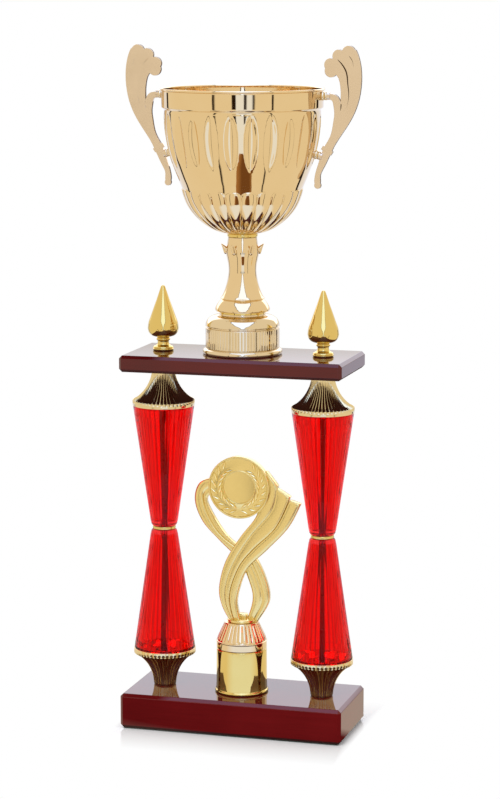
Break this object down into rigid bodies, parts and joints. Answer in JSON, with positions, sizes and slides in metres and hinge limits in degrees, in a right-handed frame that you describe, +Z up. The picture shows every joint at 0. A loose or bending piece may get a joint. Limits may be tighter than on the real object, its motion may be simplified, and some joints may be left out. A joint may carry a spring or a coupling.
{
  "type": "column cup trophy",
  "caption": "Two-handled gold cup on a lacquered board carried by red hourglass columns, with a ribbon medal figure on the base below.",
  "frame": {"origin": "middle of the underside of the felt, where the trophy stands", "axes": "+Z up, front towards -Y, the two columns and the two handles along X"},
  "size_m": [0.1944, 0.131, 0.5544],
  "materials": {
    "lacquered_wood": "dark mahogany under high-gloss lacquer",
    "felt": "short felt",
    "red_plastic": "clear red, glossy",
    "bowl_sheet": "pale gold, mirror polished",
    "pale_gold": "pale gold plating, bright",
    "yellow_gold": "yellow gold plating, mirror bright",
    "satin_gold": "gold plating, satin",
    "steel": "zinc plated"
  },
  "bodies": {
    "stand": {"base_block": "lacquered_wood", "base_felt": "felt", "tie_rod_nuts": "steel", "tie_rod_washers": "steel", "left_tie_rod": "steel", "right_tie_rod": "steel", "left_column_foot": "yellow_gold", "right_column_foot": "yellow_gold", "left_lower_cone": "red_plastic", "right_lower_cone": "red_plastic", "left_waist_ring": "yellow_gold", "right_waist_ring": "yellow_gold", "left_upper_cone": "red_plastic", "right_upper_cone": "red_plastic", "left_column_cap": "yellow_gold", "right_column_cap": "yellow_gold", "upper_board": "lacquered_wood"},
    "cup": {"cup_foot": "pale_gold", "cup_stem": "pale_gold", "bowl_collar": "yellow_gold", "cup_bowl": "bowl_sheet", "left_cup_handle": "pale_gold", "right_cup_handle": "pale_gold", "handle_screws": "steel", "cup_rod": "steel", "cup_nuts": "steel", "cup_washers": "steel"},
    "figure": {"figure_riser": "yellow_gold", "riser_neck": "pale_gold", "medal_figure": "satin_gold", "figure_rod": "steel", "figure_nut": "steel", "figure_washer": "steel"},
    "left_finial": {"left_finial": "yellow_gold"},
    "right_finial": {"right_finial": "yellow_gold"}
  },
  "joints": [
    {"name": "cup_turn", "type": "hinge", "parent": "stand", "child": "cup", "pos_m": [0, 0, 0.3084], "axis": [0, 0, 1], "continuous": true},
    {"name": "figure_turn", "type": "hinge", "parent": "stand", "child": "figure", "pos_m": [0, -0.0028, 0.0293], "axis": [0, 0, 1], "continuous": true},
    {"name": "left_finial_turn", "type": "hinge", "parent": "stand", "child": "left_finial", "pos_m": [-0.067, 0, 0.3084], "axis": [0, 0, 1], "continuous": true},
    {"name": "right_finial_turn", "type": "hinge", "parent": "stand", "child": "right_finial", "pos_m": [0.067, 0, 0.3084], "axis": [0, 0, 1], "continuous": true}
  ]
}
